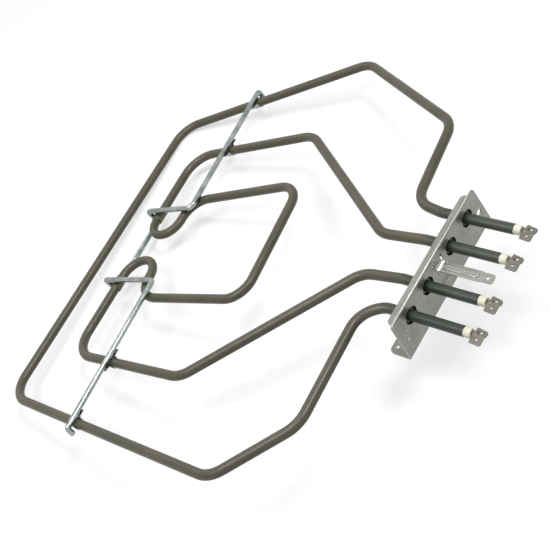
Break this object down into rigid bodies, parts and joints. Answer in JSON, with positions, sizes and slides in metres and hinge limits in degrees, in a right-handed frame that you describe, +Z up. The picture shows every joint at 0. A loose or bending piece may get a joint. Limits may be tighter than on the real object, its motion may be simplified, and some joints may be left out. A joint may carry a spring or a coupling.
{
  "type": "tubular heating element",
  "caption": "Oven heating element: an outer and an inner sheathed tube loop on a folded sheet-steel bracket, with push-on terminals, an earth blade and a clipped support wire.",
  "frame": {"origin": "midway between the bracket's two fixing holes, on the bracket face that meets the wall (the terminal side)", "axes": "+X along the bracket toward cold end a, +Y from the bracket toward the heating loops, +Z up, toward the bracket's narrow flange"},
  "size_m": [0.3371, 0.3651, 0.0701],
  "materials": {
    "bracket_steel": "zinc-grey brushed sheet steel",
    "tab_steel": "tinned sheet steel",
    "sheath_steel": "matt olive-brown annealed steel tube",
    "magnesia": "compacted powder",
    "resistance_wire": "oxidised nickel-chromium wire",
    "ceramic": "unglazed cream steatite",
    "pin_steel": "plain drawn steel",
    "collar_steel": "turned steel",
    "saddle_steel": "heat-tinted sheet steel",
    "bright_wire": "bright drawn stainless steel"
  },
  "bodies": {
    "root": {"mounting_bracket": "bracket_steel", "earth_tab": "tab_steel", "outer_sheath": "sheath_steel", "inner_sheath": "sheath_steel", "outer_magnesia": "magnesia", "inner_magnesia": "magnesia", "outer_heating_coil": "resistance_wire", "inner_heating_coil": "resistance_wire", "support_wire": "bright_wire", "wire_clip_outer_right": "bright_wire", "wire_clip_inner_right": "bright_wire", "wire_clip_inner_left": "bright_wire", "wire_clip_outer_left": "bright_wire", "tube_saddle_right": "saddle_steel", "tube_saddle_left": "saddle_steel", "tube_collar_a": "collar_steel", "ceramic_bush_a": "ceramic", "terminal_pin_a": "pin_steel", "terminal_tab_a": "tab_steel", "tube_collar_b": "collar_steel", "ceramic_bush_b": "ceramic", "terminal_pin_b": "pin_steel", "terminal_tab_b": "tab_steel", "tube_collar_c": "collar_steel", "ceramic_bush_c": "ceramic", "terminal_pin_c": "pin_steel", "terminal_tab_c": "tab_steel", "tube_collar_d": "collar_steel", "ceramic_bush_d": "ceramic", "terminal_pin_d": "pin_steel", "terminal_tab_d": "tab_steel"}
  },
  "joints": []
}
